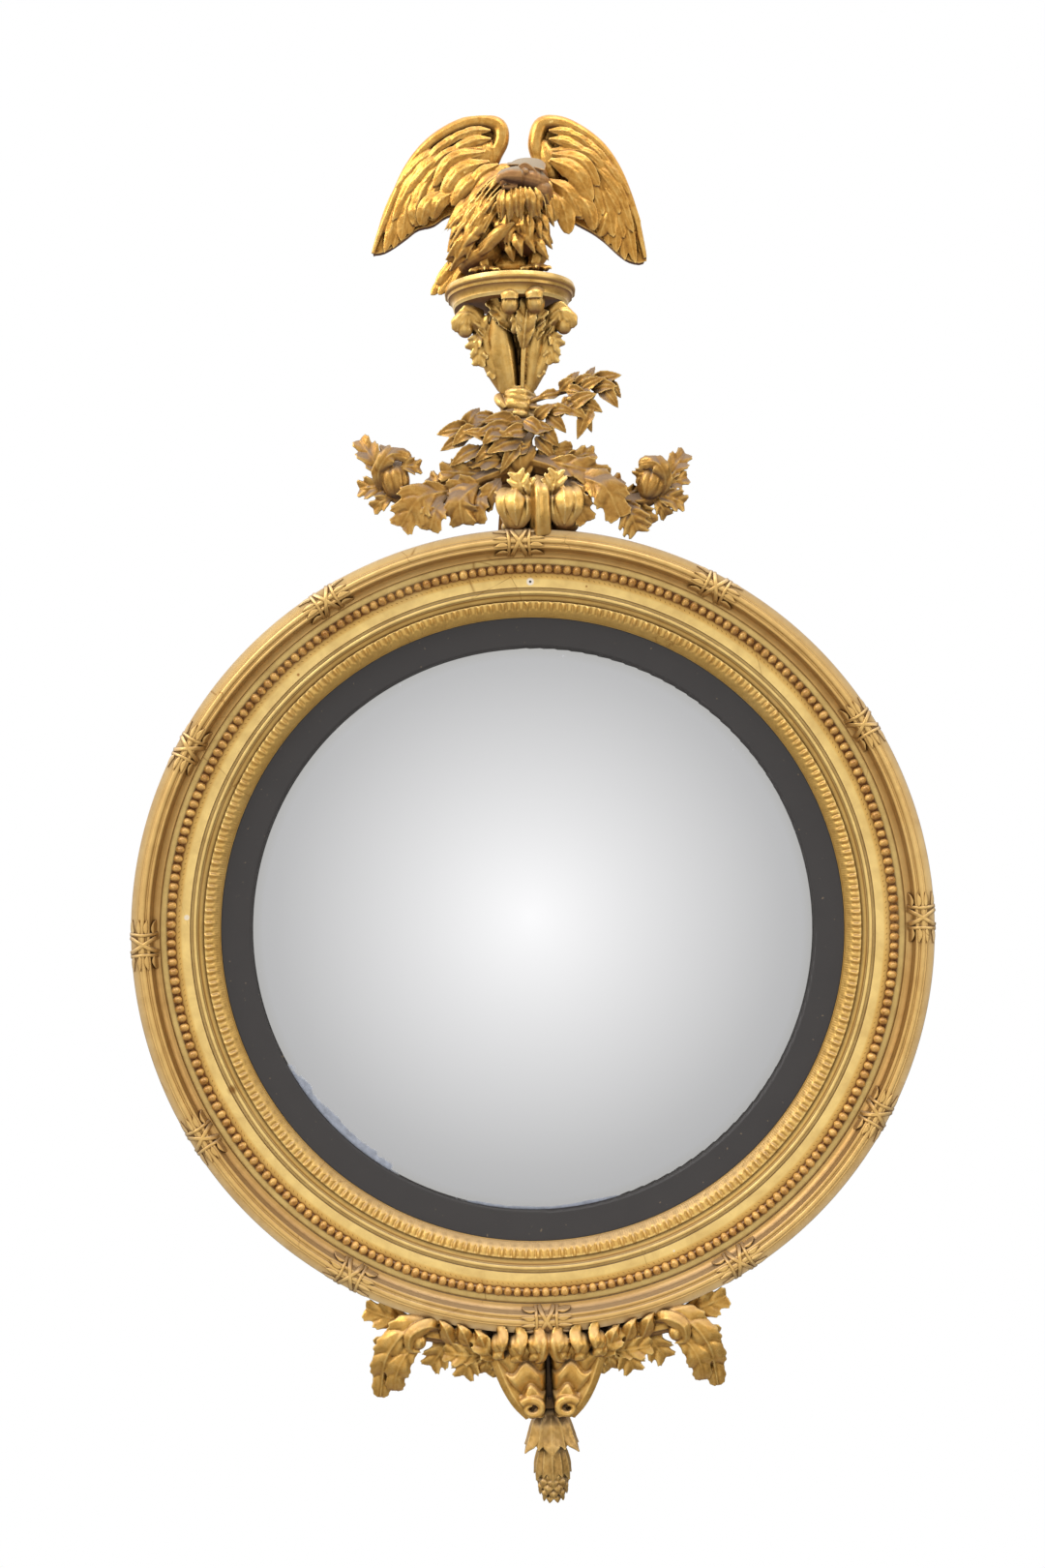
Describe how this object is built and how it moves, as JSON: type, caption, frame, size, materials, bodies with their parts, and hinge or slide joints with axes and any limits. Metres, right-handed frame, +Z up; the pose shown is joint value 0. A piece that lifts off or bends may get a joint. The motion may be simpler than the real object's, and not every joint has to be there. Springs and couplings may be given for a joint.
{
  "type": "convex girandole mirror",
  "caption": "Round convex wall mirror in a turned gilt frame with pearls and reeds, an eagle crest over acanthus, and a leafy apron with a pine cone.",
  "frame": {"origin": "middle of the round frame, on the wall plane behind the backboard", "axes": "+Z up, the mirror faces -Y, +X to the right as seen from the front"},
  "size_m": [0.7312, 0.1217, 1.2585],
  "materials": {
    "gilt_frame": "water gilding over gesso, rubbed and aged",
    "gilt_carving": "gilded carving with dark recesses",
    "gilt_foliage": "gilded carving with grey-brown patina",
    "gilt_eagle": "bronzed gilding with dark recesses",
    "ebonised_slip": "matt black",
    "mirror_glass": "old silvered convex glass",
    "pine": "old bare pine",
    "iron": "black wrought iron",
    "steel_screws": "dull steel",
    "hanger_brass": "aged brass"
  },
  "bodies": {
    "mirror": {"acanthus_left": "gilt_foliage", "acanthus_right": "gilt_foliage", "apron_acanthus_left": "gilt_carving", "apron_acanthus_right": "gilt_carving", "apron_core": "pine", "apron_rolls": "gilt_carving", "apron_strap": "iron", "apron_volute_left": "gilt_carving", "apron_volute_right": "gilt_carving", "back_plank_centre": "pine", "back_plank_left": "pine", "back_plank_right": "pine", "ball_leaf_left": "gilt_carving", "ball_leaf_right": "gilt_carving", "black_slip": "ebonised_slip", "board_screws": "steel_screws", "boss_scroll_left": "gilt_foliage", "boss_scroll_right": "gilt_foliage", "boss_stem": "gilt_foliage", "capital_stalk": "gilt_carving", "convex_glass": "mirror_glass", "crest_core": "pine", "crest_knot": "gilt_carving", "crest_strap": "iron", "curl_leaf_left": "gilt_carving", "curl_leaf_right": "gilt_carving", "eagle_body": "gilt_eagle", "eagle_head": "gilt_eagle", "eagle_leg_left": "gilt_eagle", "eagle_leg_right": "gilt_eagle", "eagle_shelf": "gilt_carving", "eagle_tail": "gilt_eagle", "eagle_wing_left": "gilt_eagle", "eagle_wing_right": "gilt_eagle", "frame_ring": "gilt_frame", "glazing_blocks": "pine", "hanger_screws": "steel_screws", "hanger_strap_left": "hanger_brass", "hanger_strap_right": "hanger_brass", "husk_lower": "gilt_carving", "husk_upper": "gilt_carving", "laurel_left": "gilt_foliage", "laurel_right": "gilt_foliage", "leaf_tip_moulding": "gilt_frame", "pearl_row": "gilt_frame", "pendant_pin": "iron", "pine_cone": "gilt_carving", "ribbon_ties": "gilt_frame", "strap_screws": "steel_screws"},
    "ring_left": {"hanger_ring_left": "hanger_brass"},
    "ring_right": {"hanger_ring_right": "hanger_brass"}
  },
  "joints": [
    {"name": "ring_left_swing", "type": "hinge", "parent": "mirror", "child": "ring_left", "pos_m": [-0.29272, -0.0046, 0.169], "axis": [1, 0, 0], "range_deg": [0, 180]},
    {"name": "ring_right_swing", "type": "hinge", "parent": "mirror", "child": "ring_right", "pos_m": [0.29272, -0.0046, 0.169], "axis": [1, 0, 0], "range_deg": [0, 180]}
  ]
}
